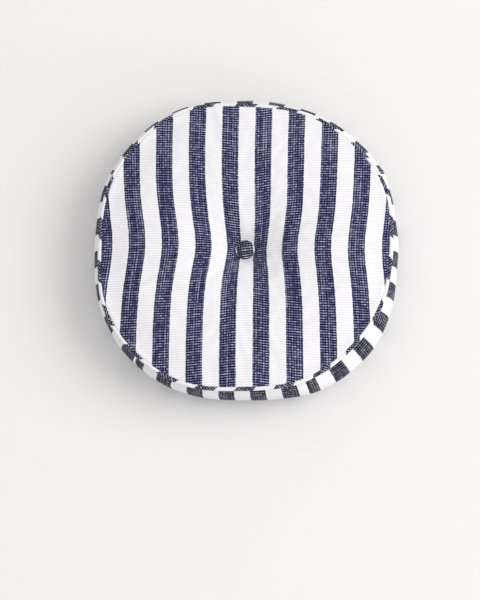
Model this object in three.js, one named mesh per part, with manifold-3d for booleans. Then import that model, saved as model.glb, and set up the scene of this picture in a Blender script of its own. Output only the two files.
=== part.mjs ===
// A round box cushion, 400 mm across and 80 mm thick. Two round panels and a side band, the boxing, are
// sewn together with piping in both seams. Inside are a foam core and two layers of wadding. A covered
// button on each face is drawn in by a loop of twine through the middle, and a zip in the boxing lets the
// filling in.
//
// Millimetres, +Z up. The origin is the centre of the plane the cushion rests on, and +Z points out of the
// front panel. Angles are measured in the XY plane from +X towards +Y, so the zip, centred on 90 degrees,
// faces +Y.

import * as THREE from "three";
import { mergeVertices } from "three/addons/utils/BufferGeometryUtils.js";
import Module from "manifold-3d";

const wasm = await Module();
wasm.setup();

// ---- Driving dimensions ----

const SEAM_RADIUS = 190; // where panels and boxing meet
const BOXING_HEIGHT = 50; // seam to seam
const BULGE = 9.2; // how far the boxing stands out at mid height
const FRONT_CROWN = 18; // rise of the front panel over its seam
const BACK_SEAM_Z = 15; // the back panel sags this far below its seam, to z = 0
const BUTTON_PINCH = 26; // distance between the panels' outer faces under the buttons
const CLOTH = 1.2; // woven cotton, one ply as made up
const GAP = 0.4; // clearance between neighbouring pieces

const PIPING_RADIUS = 3.25;
const CORD_RADIUS = 2;
const SEAM_ALLOWANCE = 10; // length of cloth turned inside each seam

const BUTTON_RADIUS = 12;
const TWINE_RADIUS = 0.75;
const WIRE_RADIUS = 0.5;

const ZIP_START = 30; // degrees
const ZIP_END = 150;
const SLIDER_ANGLE = 34; // the slider's place when the zip is closed
const OPENING_HALF = 5.4; // half the width of the slot between the zip's two cloth edges
const LEFT_JOIN = -134.3; // degrees, where the boxing's three pieces are sewn together
const RIGHT_JOIN = -66.2;

// The made-up cloth's outline isn't quite round: how many waves go round the seams, their depth as a share of
// the radius, and the angle of a crest in degrees. Cloth gives most at 45 degrees to its threads, so the four
// waves are the deepest. The single wave sets the outline a little off centre.
const OUTLINE_WAVES = [
  { count: 4, depth: 0.021, crest: 40 },
  { count: 3, depth: 0.01, crest: 1 },
  { count: 8, depth: 0.007, crest: 22 },
  { count: 2, depth: 0.004, crest: 29 },
  { count: 1, depth: 0.015, crest: 114 },
];

const SEGMENTS = 36; // facets round the cushion
const STEP = 360 / SEGMENTS;

const FRONT_SEAM_Z = BACK_SEAM_Z + BOXING_HEIGHT;
const MID_Z = (BACK_SEAM_Z + FRONT_SEAM_Z) / 2;
const BUTTON_SEAT = MID_Z + BUTTON_PINCH / 2;
const ZIP_RADIUS = SEAM_RADIUS + 0.8 + BULGE; // the boxing's outer face at mid height

// ---- Materials ----

const finish = (color, roughness, metalness = 0) =>
  new THREE.MeshStandardMaterial({ color, roughness, metalness });
const stripedCloth = finish(0xa7a8b6, 0.95);
const navyCloth = finish(0x2b2e52, 0.95);
const cotton = finish(0xefe9dc, 0.95);
const foam = finish(0xf0e6b8, 0.9);
const wadding = finish(0xf7f7f5, 1);
const tapeCloth = finish(0xe9e7e1, 0.9);
const nylon = finish(0xe6e4de, 0.5);
const steel = finish(0xb9bbbf, 0.35, 1);

// ---- Shaping helpers ----

const radians = THREE.MathUtils.degToRad;
const sum = (numbers) => numbers.reduce((a, b) => a + b, 0);
const point = (r, z) => new THREE.Vector2(r, z);
const mirrored = (profile) => profile.map(({ x, y }) => point(x, 2 * MID_Z - y)).reverse();

const ALLOWANCE_LEVEL = BOXING_HEIGHT / 2 - SEAM_ALLOWANCE; // where seam allowances start, over mid level

const outlineAt = (angle) =>
  sum(OUTLINE_WAVES.map(({ count, depth, crest }) => depth * Math.cos(count * (angle - radians(crest)))));

/** The cloth's uneven outline: moves points in or out near the seams and leaves the zip's level a circle. */
function uneven(geometry) {
  const p = geometry.attributes.position;
  for (let i = 0; i < p.count; i++) {
    const x = p.getX(i);
    const y = p.getY(i);
    const outward = Math.hypot(x, y) / SEAM_RADIUS;
    const level = THREE.MathUtils.smoothstep(Math.abs(p.getZ(i) - MID_Z), OPENING_HALF, ALLOWANCE_LEVEL);
    const scale = 1 + outlineAt(Math.atan2(y, x)) * outward ** 2 * level;
    p.setXY(i, x * scale, y * scale);
  }
  return geometry;
}

/** A closed (r, z) profile turned all the way round the Z axis. */
function turned(profile, segments = SEGMENTS) {
  const anticlockwise = THREE.ShapeUtils.isClockWise(profile) ? [...profile].reverse() : profile;
  const onAxis = profile[0].x === 0 && profile.at(-1).x === 0;
  const loop = onAxis ? anticlockwise : [...anticlockwise, anticlockwise[0]];
  return new THREE.LatheGeometry(loop, segments).rotateX(Math.PI / 2);
}

/** A closed (r, z) profile swept round the Z axis through the given angles, in degrees. */
function swept(profile, angles, shift = () => 0) {
  const shape = new THREE.Shape(profile);
  const steps = angles.length - 1;
  const geometry = new THREE.ExtrudeGeometry(shape, { depth: steps, steps, bevelEnabled: false });
  const p = geometry.attributes.position;
  for (let i = 0; i < p.count; i++) {
    const r = p.getX(i);
    const z = p.getY(i);
    const step = Math.round(p.getZ(i));
    const angle = radians(angles[steps - step]);
    p.setXYZ(i, r * Math.cos(angle), r * Math.sin(angle), z + shift(step, z));
  }
  return geometry;
}

const evenly = (from, to, steps) =>
  Array.from({ length: steps + 1 }, (_, i) => from + ((to - from) * i) / steps);

/** Both ends and the corners of the cushion's facets between them. */
function facetAngles(from, to) {
  const first = Math.floor(from / STEP) + 1;
  const count = Math.ceil(to / STEP) - first;
  return [from, ...Array.from({ length: count }, (_, i) => (first + i) * STEP), to];
}

/** Brings a sweep's ends that lie between two facet corners in onto the facet. */
function ontoFacets(geometry) {
  const p = geometry.attributes.position;
  for (let i = 0; i < p.count; i++) {
    const degrees = THREE.MathUtils.radToDeg(Math.atan2(p.getY(i), p.getX(i)));
    const fromMiddle = THREE.MathUtils.euclideanModulo(degrees, STEP) - STEP / 2;
    const scale = Math.cos(radians(STEP / 2)) / Math.cos(radians(fromMiddle));
    p.setXY(i, p.getX(i) * scale, p.getY(i) * scale);
  }
  return geometry;
}

/** A round wire along a closed curve through the given points. */
function wireLoop(points, radius, steps, sides) {
  const curve = new THREE.CatmullRomCurve3(points, true);
  return new THREE.TubeGeometry(curve, steps, radius, sides, true);
}

function toSolid(geometry) {
  const flat = geometry.index ? geometry.toNonIndexed() : geometry;
  const bare = new THREE.BufferGeometry().setAttribute("position", flat.attributes.position);
  const merged = mergeVertices(bare, 1e-4);
  const vertProperties = merged.attributes.position.array;
  const triVerts = new Uint32Array(merged.index.array);
  return new wasm.Manifold(new wasm.Mesh({ numProp: 3, vertProperties, triVerts }));
}

function toGeometry(solid) {
  const mesh = solid.getMesh();
  return new THREE.BufferGeometry()
    .setAttribute("position", new THREE.BufferAttribute(mesh.vertProperties, 3))
    .setIndex(new THREE.BufferAttribute(mesh.triVerts, 1));
}

const joined = (...geometries) => toGeometry(geometries.map(toSolid).reduce((a, b) => a.add(b)));

/** A box given by its lowest and highest corners. */
function block([x0, y0, z0], [x1, y1, z1]) {
  const box = new THREE.BoxGeometry(x1 - x0, y1 - y0, z1 - z0);
  return box.translate((x0 + x1) / 2, (y0 + y1) / 2, (z0 + z1) / 2);
}

const cushion = new THREE.Group();

function add(name, geometry, material, parent = cushion) {
  const mesh = new THREE.Mesh(geometry.index ? geometry : mergeVertices(geometry), material);
  mesh.name = name;
  parent.add(mesh);
  return mesh;
}

// ---- The outer faces of the two panels, as height over radius ----

const TUFT_FLAT = BUTTON_RADIUS + 0.5; // radius pressed flat by a button
const FRONT_TUFT_DEPTH = FRONT_SEAM_Z + FRONT_CROWN - BUTTON_SEAT;
const FRONT_TUFT_REACH = 38;
const REST_INNER = 62; // the back panel lies flat on its seat between these radii
const REST_OUTER = 146;
const PANEL_EDGE = SEAM_RADIUS - 2.2; // radius where a panel turns in at its seam

function frontFace(r) {
  const crown = FRONT_CROWN * (1 - (r / SEAM_RADIUS) ** 5);
  const tuft = FRONT_TUFT_DEPTH * Math.exp(-Math.max(0, r - TUFT_FLAT) / FRONT_TUFT_REACH);
  return FRONT_SEAM_Z + crown - tuft;
}

function backFace(r) {
  const seat = 2 * MID_Z - BUTTON_SEAT;
  const intoTuft = Math.max(0, r - TUFT_FLAT) / (REST_INNER - TUFT_FLAT);
  if (r < REST_INNER) return seat * (1 - intoTuft) ** 2;
  if (r > REST_OUTER) return BACK_SEAM_Z * ((r - REST_OUTER) / (PANEL_EDGE - REST_OUTER)) ** 1.6;
  return 0;
}

const PANEL_HOLE = 3.8; // let the button's wire eye through
const FILLING_HOLE = 5.2; // the needle's path, wide enough for both strands of twine
const stations = [TUFT_FLAT, 20, 34, REST_INNER, 100, REST_OUTER, 172];

// ---- Panels: a dished disc of cloth with its seam allowance turned down inside the boxing ----

const PLY = CLOTH + 0.2; // a panel's height through its slopes

function panelProfile(face, side) {
  const edgeZ = face(PANEL_EDGE);
  const outer = [PANEL_HOLE, ...stations, PANEL_EDGE].map((r) => point(r, face(r)));
  const inner = [PANEL_HOLE, ...stations, PANEL_EDGE - CLOTH].map((r) => point(r, face(r) - side * PLY));
  const allowance = [
    point(PANEL_EDGE, edgeZ - side * SEAM_ALLOWANCE),
    point(PANEL_EDGE - CLOTH, edgeZ - side * SEAM_ALLOWANCE),
  ];
  return [...outer, ...allowance, ...inner.reverse()];
}

add("front_panel", uneven(turned(panelProfile(frontFace, 1))), stripedCloth);
add("back_panel", uneven(turned(panelProfile(backFace, -1))), stripedCloth);

// ---- Piping: a bias strip wrapped round a cord, its two plies caught between panel and boxing ----

const PIPING_CENTRE = point(SEAM_RADIUS + 0.5, FRONT_SEAM_Z + 2.8);
const LIP_RADIUS = SEAM_RADIUS - 1; // the middle of the two plies
const LIP_HALF = 0.9;
const LIP_SLIT_HALF = 0.15;

const pipingPoint = (radius, angle) =>
  point(PIPING_CENTRE.x + radius * Math.cos(angle), PIPING_CENTRE.y + radius * Math.sin(angle));

/** An arc round the piping's centre, open towards the lip, from the lip's left edge over to its right. */
function openCircle(radius, halfSlit, sides) {
  const angleAt = (r) => -Math.acos((r - PIPING_CENTRE.x) / radius);
  const left = angleAt(LIP_RADIUS - halfSlit);
  const right = angleAt(LIP_RADIUS + halfSlit) - 2 * Math.PI;
  const step = (right - left) / sides;
  return Array.from({ length: sides + 1 }, (_, i) => pipingPoint(radius, left + i * step));
}

const lipEnd = FRONT_SEAM_Z - SEAM_ALLOWANCE;
const pipingCover = [
  point(LIP_RADIUS - LIP_HALF, lipEnd),
  ...openCircle(PIPING_RADIUS, LIP_HALF, 8),
  point(LIP_RADIUS + LIP_HALF, lipEnd),
  point(LIP_RADIUS + LIP_SLIT_HALF, lipEnd),
  ...openCircle(CORD_RADIUS + GAP, LIP_SLIT_HALF, 6).reverse(),
  point(LIP_RADIUS - LIP_SLIT_HALF, lipEnd),
];
const cordSection = Array.from({ length: 6 }, (_, i) => pipingPoint(CORD_RADIUS, (i * Math.PI) / 3));

for (const [side, flip] of Object.entries({ front: (profile) => profile, back: mirrored })) {
  add(`${side}_piping_cover`, uneven(turned(flip(pipingCover))), navyCloth);
  add(`${side}_piping_cord`, uneven(turned(flip(cordSection))), cotton);
}

// ---- Boxing: the side band. Each cloth edge folds back inside its seam as an allowance ----

const FOLD_RADIUS = SEAM_RADIUS + 0.2; // inner face of the allowance
const boxingFace = (z) => ZIP_RADIUS - BULGE * ((z - MID_Z) / (BOXING_HEIGHT / 2)) ** 2;

/** The folded front edge of the boxing, from the end of its allowance to its face. */
const boxingFold = [
  point(FOLD_RADIUS + CLOTH, FRONT_SEAM_Z - SEAM_ALLOWANCE),
  point(FOLD_RADIUS, FRONT_SEAM_Z - SEAM_ALLOWANCE),
  point(FOLD_RADIUS, FRONT_SEAM_Z - 1.6),
  point(FOLD_RADIUS + 0.8, FRONT_SEAM_Z - 0.9),
  point(boxingFace(FRONT_SEAM_Z - 1.2), FRONT_SEAM_Z - 1.2),
];
const faceHeights = [58, 50, MID_Z];
const outerFace = faceHeights.map((z) => point(boxingFace(z), z));
const innerFace = [60, 52, MID_Z].map((z) => point(boxingFace(z) - CLOTH, z));
const foldCorner = point(FOLD_RADIUS + CLOTH, 60.5);

const boxingProfile = [
  ...boxingFold,
  ...outerFace,
  ...mirrored([...boxingFold, ...outerFace.slice(0, -1)]),
  ...mirrored([foldCorner, ...innerFace.slice(0, -1)].reverse()),
  ...innerFace.slice().reverse(),
  foldCorner,
];
const seamGap = 0.15; // degrees from a join's middle to each piece, and from the boxing to the zip strips
const boxingPieces = {
  boxing_left: [ZIP_END - 360, LEFT_JOIN],
  boxing_bottom: [LEFT_JOIN, RIGHT_JOIN],
  boxing_right: [RIGHT_JOIN, ZIP_START],
};
for (const [name, [from, to]] of Object.entries(boxingPieces)) {
  const angles = facetAngles(from + seamGap, to - seamGap);
  add(name, uneven(ontoFacets(swept(boxingProfile, angles))), stripedCloth);
}

// ---- Zip: two cloth strips, each hemmed over a tape that carries one row of the coil ----

const frontStripProfile = [
  ...boxingFold,
  ...outerFace.slice(0, -1),
  point(ZIP_RADIUS, MID_Z + OPENING_HALF + 1),
  point(ZIP_RADIUS - 0.3, MID_Z + OPENING_HALF),
  point(ZIP_RADIUS - 1.2, MID_Z + OPENING_HALF),
  ...innerFace.slice(0, -1).reverse(),
  foldCorner,
];
const tape = { inner: ZIP_RADIUS - 2.9, outer: ZIP_RADIUS - 2.1, start: 0.6, bend: 4.8, end: 13 };
const coil = { inner: ZIP_RADIUS - 1.8, outer: ZIP_RADIUS, start: 0.6, end: 3.3 };
const band = ({ inner, outer, start, end }) => [
  point(inner, MID_Z + start),
  point(outer, MID_Z + start),
  point(outer, MID_Z + end),
  point(inner, MID_Z + end),
];

/** The tape lies flat behind its row of the coil, then bends in behind the cloth strip. */
const tapeEdge = boxingFace(MID_Z + tape.end) - CLOTH - 4 * GAP;
const frontTapeProfile = [
  point(tape.inner, MID_Z + tape.start),
  point(tape.outer, MID_Z + tape.start),
  point(tape.outer, MID_Z + tape.bend),
  point(tapeEdge, MID_Z + tape.end),
  point(tapeEdge - 0.8, MID_Z + tape.end),
  point(tape.inner, MID_Z + tape.bend),
];

const COIL_STEPS = 96; // two to a tooth
const TOOTH = 1.2; // how far a tooth reaches towards the middle
const frontTooth = (step, z) => (step % 2 && z < MID_Z + 1 ? TOOTH : 0);
const backTooth = (step, z) => (step % 2 === 0 && z > MID_Z - 1 ? -TOOTH : 0);
const stripAngles = evenly(ZIP_START, ZIP_END, Math.round((2 * (ZIP_END - ZIP_START)) / STEP));

const zipSides = {
  front: { flip: (profile) => profile, tooth: frontTooth },
  back: { flip: mirrored, tooth: backTooth },
};
for (const [side, { flip, tooth }] of Object.entries(zipSides)) {
  const strip = swept(flip(frontStripProfile), stripAngles);
  const tapeStrip = swept(flip(frontTapeProfile), stripAngles);
  const row = swept(flip(band(coil)), evenly(ZIP_START + 1.5, ZIP_END - 1.5, COIL_STEPS), tooth);
  add(`zip_strip_${side}`, uneven(strip), stripedCloth);
  add(`zip_tape_${side}`, uneven(tapeStrip), tapeCloth);
  add(`zip_coil_${side}`, row, nylon);
}

// Metal stops over the coil: one on each row at the closed end, one across both rows at the open end.
const STOP_HALF = 0.35; // degrees
const stop = { inner: coil.outer + 0.3, outer: coil.outer + 1.1, start: 0.8, end: 3.4 };
const topStop = [ZIP_START + 2 - STOP_HALF, ZIP_START + 2 + STOP_HALF];
const bottomStop = [ZIP_END - 2 - 2 * STOP_HALF, ZIP_END - 2 + 2 * STOP_HALF];
add("zip_top_stop_front", swept(band(stop), topStop), steel);
add("zip_top_stop_back", swept(mirrored(band(stop)), topStop), steel);
add("zip_bottom_stop", swept(band({ ...stop, start: -stop.end }), bottomStop), steel);

// ---- Slider and pull, in a frame with x outward, y along the zip and z across it ----

const SLIDER_HALF_LENGTH = 4.5;
const MOUTH_HALF = 4.6; // half width at the mouth, where the rows part
const TAIL_HALF = 4.2;
const TOP_PLATE = { inner: coil.outer + GAP, outer: coil.outer + GAP + 1.1 };
const BOTTOM_PLATE = { inner: tape.inner - GAP - 1.1, outer: tape.inner - GAP };

/** Turns a slab drawn as (along, across, thickness) to stand in the YZ plane with its inner face at x. */
function stoodUp(slab, x) {
  return slab.applyMatrix4(new THREE.Matrix4().set(0, 0, 1, x, 1, 0, 0, 0, 0, 1, 0, 0, 0, 0, 0, 1));
}

function plate({ inner, outer }) {
  const outline = new THREE.Shape([
    new THREE.Vector2(-SLIDER_HALF_LENGTH + 1.2, -MOUTH_HALF + 1.4),
    new THREE.Vector2(-SLIDER_HALF_LENGTH + 2.4, -MOUTH_HALF),
    new THREE.Vector2(0.5, -MOUTH_HALF),
    new THREE.Vector2(SLIDER_HALF_LENGTH, -TAIL_HALF),
    new THREE.Vector2(SLIDER_HALF_LENGTH, TAIL_HALF),
    new THREE.Vector2(0.5, MOUTH_HALF),
    new THREE.Vector2(-SLIDER_HALF_LENGTH + 2.4, MOUTH_HALF),
    new THREE.Vector2(-SLIDER_HALF_LENGTH + 1.2, MOUTH_HALF - 1.4),
    new THREE.Vector2(-SLIDER_HALF_LENGTH, 0),
  ]);
  const slab = new THREE.ExtrudeGeometry(outline, { depth: outer - inner, bevelEnabled: false });
  return stoodUp(slab, inner);
}

const RAIL_INNER = tape.outer + 0.3;
const rail = (side) => {
  const edges = [side * (coil.end + 0.4), side * TAIL_HALF].sort((a, b) => a - b);
  return block([RAIL_INNER, -1.5, edges[0]], [TOP_PLATE.inner + 0.2, SLIDER_HALF_LENGTH, edges[1]]);
};
const WEB_HALF = 0.3; // the wedge between the two rows that ties the plates together
const web = block(
  [BOTTOM_PLATE.outer - 0.2, -SLIDER_HALF_LENGTH + 1.6, -WEB_HALF],
  [TOP_PLATE.inner + 0.2, -SLIDER_HALF_LENGTH + 4, WEB_HALF],
);

const BAR_RADIUS = 0.55;
const PIVOT_X = TOP_PLATE.outer + 1; // the pull's bar turns here, under the bridge
const BRIDGE = { halfLength: 3.2, halfWidth: 0.8, thickness: 0.8, top: PIVOT_X + BAR_RADIUS + 0.35 };
const bridgeTop = block(
  [BRIDGE.top, -BRIDGE.halfLength, -BRIDGE.halfWidth],
  [BRIDGE.top + BRIDGE.thickness, BRIDGE.halfLength, BRIDGE.halfWidth],
);
const bridgeLeg = (side) => {
  const ends = [side * BRIDGE.halfLength, side * (BRIDGE.halfLength - 0.9)].sort((a, b) => a - b);
  return block(
    [TOP_PLATE.outer - 0.2, ends[0], -BRIDGE.halfWidth],
    [BRIDGE.top + BRIDGE.thickness, ends[1], BRIDGE.halfWidth],
  );
};

const slider = new THREE.Group();
slider.rotation.z = radians(SLIDER_ANGLE);
cushion.add(slider);
const plates = [plate(TOP_PLATE), plate(BOTTOM_PLATE)];
const bridge = [bridgeTop, bridgeLeg(1), bridgeLeg(-1)];
add("zip_slider", joined(...plates, rail(1), rail(-1), web, ...bridge), steel, slider);

const PULL = {
  length: 24,
  halfWidth: 3.2,
  neckHalf: 2.4,
  windowHalf: 1.3,
  windowEnd: 5.2,
  halfThickness: 0.5,
};

function pullTab() {
  const { length, halfWidth, neckHalf, windowHalf, windowEnd } = PULL;
  const outline = new THREE.Shape();
  outline.moveTo(0, -neckHalf).lineTo(8, -neckHalf).lineTo(11, -halfWidth);
  outline.lineTo(length - halfWidth, -halfWidth);
  outline.absarc(length - halfWidth, 0, halfWidth, -Math.PI / 2, Math.PI / 2, false);
  outline.lineTo(11, halfWidth).lineTo(8, neckHalf).lineTo(0, neckHalf);
  outline.closePath();
  const window = new THREE.Path();
  window.moveTo(0.2, -windowHalf).lineTo(0.2, windowHalf);
  window.lineTo(windowEnd, windowHalf).lineTo(windowEnd, -windowHalf);
  window.closePath();
  const thumbHole = new THREE.Path().absarc(length - halfWidth - 0.6, 0, 1.5, 0, 2 * Math.PI, true);
  outline.holes.push(window, thumbHole);
  const depth = 2 * PULL.halfThickness;
  const slab = new THREE.ExtrudeGeometry(outline, { depth, bevelEnabled: false, curveSegments: 8 });
  const bar = new THREE.CylinderGeometry(BAR_RADIUS, BAR_RADIUS, 2 * neckHalf, 10).rotateX(Math.PI / 2);
  return joined(stoodUp(slab, -PULL.halfThickness), bar).translate(PIVOT_X, 0, 0);
}
add("zip_pull", pullTab(), steel, slider);
slider.position.z = MID_Z;

// ---- Filling: a foam core between two layers of wadding, both pinched in the middle by the twine ----

const FOAM_HALF = 25.5; // half the foam's free thickness
const FOAM_EDGE = 185;
const WADDING_MIN = 4.4; // the wadding where the cover presses it hardest
const SIDE_BULGE = 193; // the foam fills out the boxing at mid level, clear of the slider

const foamTop = (r) => Math.min(MID_Z + FOAM_HALF, frontFace(r) - PLY - GAP - WADDING_MIN);
const foamBottom = (r) => Math.max(MID_Z - FOAM_HALF, backFace(r) + PLY + GAP + WADDING_MIN);
const fillingStations = [FILLING_HOLE, TUFT_FLAT, 20, 34, REST_INNER, REST_OUTER, 172, FOAM_EDGE];

const foamProfile = [
  ...fillingStations.map((r) => point(r, foamTop(r))),
  point(FOAM_EDGE, 54),
  point(SIDE_BULGE, MID_Z + OPENING_HALF),
  point(SIDE_BULGE, MID_Z - OPENING_HALF),
  point(FOAM_EDGE, 26),
  ...fillingStations.map((r) => point(r, foamBottom(r))).reverse(),
];
add("foam_core", uneven(turned(foamProfile)), foam);

function waddingProfile(face, foamFace, side) {
  const outer = fillingStations.map((r) => point(r, face(r) - side * (PLY + GAP)));
  const inner = fillingStations.map((r) => point(r, foamFace(r) + side * GAP));
  return [...outer, ...inner.reverse()];
}
add("front_wadding", uneven(turned(waddingProfile(frontFace, foamTop, 1))), wadding);
add("back_wadding", uneven(turned(waddingProfile(backFace, foamBottom, -1))), wadding);

// ---- Buttons: heights are above the panel they sit on, and the back one is the front one turned over ----

const DOME = [
  [1, 2.6],
  [0.94, 4.5],
  [0.77, 6.1],
  [0.45, 7.2],
  [0, 7.6],
]; // share of the radius, height
const domeInset = (depth) =>
  DOME.map(([share, height]) => point(share * (BUTTON_RADIUS - depth), height > 3 ? height - depth : height));
const BUTTON_SIDES = 16;
const COVER = 0.8; // cloth stretched over the shell
const SHELL = { depth: COVER + 0.3, thickness: 0.6, foot: 1.5 };

const buttonCover = [
  point(7, GAP),
  point(BUTTON_RADIUS - 1.4, GAP),
  point(BUTTON_RADIUS - 0.2, 1.3),
  ...domeInset(0),
  ...domeInset(COVER).reverse(),
  point(BUTTON_RADIUS - 0.9, GAP + COVER),
  point(7, GAP + COVER),
];
const shellInner = SHELL.depth + SHELL.thickness;
const buttonShell = [
  point(BUTTON_RADIUS - SHELL.depth, SHELL.foot),
  ...domeInset(SHELL.depth),
  ...domeInset(shellInner).reverse(),
  point(BUTTON_RADIUS - shellInner, SHELL.foot),
];
const PLATE_HOLE = 3.9;
const plateEdge = BUTTON_RADIUS - shellInner - GAP;
const buttonPlate = [
  point(PLATE_HOLE, 1.6),
  point(plateEdge, 1.6),
  point(plateEdge, 2.2),
  point(PLATE_HOLE, 2.2),
];

// The wire eye hangs through the plate's hole by its shoulders, and the twine runs through its foot.
const EYE = { half: 2.6, shoulder: 4.8, foot: -4, top: 4.7, bend: 0.8 };

/** Points along an arc in the XZ plane, from one angle to another in degrees. */
function bend([x, z], radius, from, to, count) {
  return Array.from({ length: count }, (_, i) => {
    const angle = radians(from + ((to - from) * i) / (count - 1));
    return new THREE.Vector3(x + radius * Math.cos(angle), 0, z + radius * Math.sin(angle));
  });
}
const eyeHalf = [
  ...bend([0, EYE.foot + EYE.half], EYE.half, -75, 0, 4),
  ...bend([EYE.half + EYE.bend, EYE.top - 3 * EYE.bend], EYE.bend, 180, 90, 4),
  ...bend([EYE.shoulder - EYE.bend, EYE.top - EYE.bend], EYE.bend, -90, 90, 7),
];
const eyePath = [...eyeHalf, ...eyeHalf.map(({ x, z }) => new THREE.Vector3(-x, 0, z)).reverse()];

/** Starts and ends a closed profile at its two neighbouring points on the axis, where turning closes it. */
const domed = (profile) => {
  const apex = profile.findIndex(({ x }) => x === 0);
  return [...profile.slice(apex + 1), ...profile.slice(0, apex + 1)];
};

for (const [side, turn] of Object.entries({ front: 0, back: Math.PI })) {
  const button = new THREE.Group();
  button.rotation.x = turn;
  button.position.z = side === "front" ? BUTTON_SEAT : 2 * MID_Z - BUTTON_SEAT;
  cushion.add(button);
  add(`${side}_button_cover`, turned(domed(buttonCover), BUTTON_SIDES), navyCloth, button);
  add(`${side}_button_shell`, turned(domed(buttonShell), BUTTON_SIDES), steel, button);
  add(`${side}_button_plate`, turned(buttonPlate, BUTTON_SIDES), steel, button);
  add(`${side}_button_eye`, wireLoop(eyePath, WIRE_RADIUS, 72, 6), steel, button);
}

// ---- Twine: one loop through both eyes, knotted just above the back button ----

const STRAND_OFFSET = 2.5;
const twineTop = BUTTON_SEAT + EYE.foot + WIRE_RADIUS + TWINE_RADIUS + 0.2;
const turnRadius = STRAND_OFFSET;
const twinePath = [];
for (const side of [1, -1]) {
  const centreZ = side > 0 ? twineTop - turnRadius : 2 * MID_Z - (twineTop - turnRadius);
  for (let i = 0; i <= 6; i++) {
    const angle = (i * Math.PI) / 6;
    const y = side * turnRadius * Math.cos(angle);
    twinePath.push(new THREE.Vector3(0, y, centreZ + side * turnRadius * Math.sin(angle)));
  }
}
const knot = new THREE.SphereGeometry(1, 8, 6).scale(1.6, 1.5, 2).translate(0, STRAND_OFFSET, MID_Z - 4);
add("tufting_twine", joined(wireLoop(twinePath, TWINE_RADIUS, 36, 6), knot), cotton);

export default cushion;
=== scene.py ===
"""A round box cushion in striped woven cotton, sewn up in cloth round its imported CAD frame.

Metres, +Z out of the front panel. Angles are measured in the XY plane from +X towards +Y. Every cloth
piece carries a UV map named "weave", in metres of cloth: u runs across the stripes and v along them.
"""

import math

import bpy
import numpy as np
from mathutils import Matrix, Vector, noise
from mathutils.geometry import delaunay_2d_cdt


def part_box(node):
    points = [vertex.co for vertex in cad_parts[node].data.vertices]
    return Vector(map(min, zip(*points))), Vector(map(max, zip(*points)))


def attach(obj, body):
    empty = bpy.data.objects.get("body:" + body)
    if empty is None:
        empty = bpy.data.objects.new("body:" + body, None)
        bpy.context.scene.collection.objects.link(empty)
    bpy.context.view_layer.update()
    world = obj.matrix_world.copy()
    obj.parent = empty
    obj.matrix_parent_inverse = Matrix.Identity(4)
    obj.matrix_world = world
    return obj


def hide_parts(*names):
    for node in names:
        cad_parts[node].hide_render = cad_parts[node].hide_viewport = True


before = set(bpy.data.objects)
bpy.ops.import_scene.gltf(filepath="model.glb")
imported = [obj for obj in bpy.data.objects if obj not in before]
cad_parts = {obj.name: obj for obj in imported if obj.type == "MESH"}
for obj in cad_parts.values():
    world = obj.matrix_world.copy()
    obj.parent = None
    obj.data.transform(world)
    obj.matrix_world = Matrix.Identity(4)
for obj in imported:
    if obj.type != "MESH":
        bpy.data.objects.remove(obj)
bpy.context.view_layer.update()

MM = 0.001
TAU = 2 * math.pi

FRONT, BACK = 1, -1
SIDE_NAMES = {FRONT: "front", BACK: "back"}

# ---- The cloth ----

STRIPE = 42.4 * MM  # one navy stripe and one white stripe
WARP_PITCH = 3.3 * MM  # from one white float to the next along a row of the navy stripes
WEFT_PITCH = 3.2 * MM  # from row to row
CLOTH = 0.8 * MM
THIN_CLOTH = 0.6 * MM  # where it is pulled tight
RIPPLE_LENGTH = 40 * MM  # the unevenness of sewn cloth is set out in this much length

DRAW_IN = 9.2 * MM  # how far the buttons draw the threads towards the middle
DRAW_REACH = 38 * MM
DRAW_WIDTH = 25 * MM
DRAW_SPREAD = 0.09  # the pull widens with the distance from the middle


# ---- Measures taken from the frame ----


def cad_points(node):
    """A CAD node's vertices as rows of x, y, z."""
    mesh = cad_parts[node].data
    co = np.empty(3 * len(mesh.vertices), np.float32)
    mesh.vertices.foreach_get("co", co)
    return co.reshape(-1, 3).astype(float)


class SeamLine:
    """The centre line of a turned ring: its radius as a smooth function of the angle, and its height."""

    FACETS = 36
    HARMONICS = 8

    def __init__(self, node):
        co = cad_points(node)
        radius = np.hypot(co[:, 0], co[:, 1])
        facet = np.round(np.arctan2(co[:, 1], co[:, 0]) / TAU * self.FACETS).astype(int) % self.FACETS
        means = [radius[facet == k].mean() for k in range(self.FACETS)]
        waves = np.fft.rfft(means) / self.FACETS
        self.z = co[:, 2].mean()
        self.mean = waves[0].real
        self.waves = list(enumerate(waves))[1 : self.HARMONICS + 1]

    def outline(self, angle):
        """How far the ring stands out from a true circle."""
        return sum(2 * abs(wave) * np.cos(k * angle + np.angle(wave)) for k, wave in self.waves)

    def radius(self, angle):
        return self.mean + self.outline(angle)


def monotone_curve(xs, ys):
    """A smooth curve through points that never overshoots between them."""
    xs, ys = np.array(xs, float), np.array(ys, float)
    width = np.diff(xs)
    rise = np.diff(ys) / width
    slope = np.zeros(len(xs))
    before, after = rise[:-1], rise[1:]
    same = before * after > 0
    slope[1:-1][same] = 2 * before[same] * after[same] / (before[same] + after[same])
    slope[-1] = rise[-1]

    def curve(x):
        i = np.clip(np.searchsorted(xs, x) - 1, 0, len(width) - 1)
        t = np.clip((x - xs[i]) / width[i], 0, 1)
        rest = 1 - t
        ends = ys[i] * (1 + 2 * t) * rest**2 + ys[i + 1] * (3 - 2 * t) * t**2
        return ends + width[i] * (slope[i] * t * rest**2 - slope[i + 1] * rest * t**2)

    return curve


PROFILE_SHARES = (0.065, 0.105, 0.18, 0.326, 0.526, 0.768, 0.905, 0.985)  # of the seam's radius
RAY_START = 0.5  # metres from mid level, well outside the cushion
RAY_OFF_AXIS = 0.01 * MM  # keeps the rays off the facets' shared edges


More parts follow.
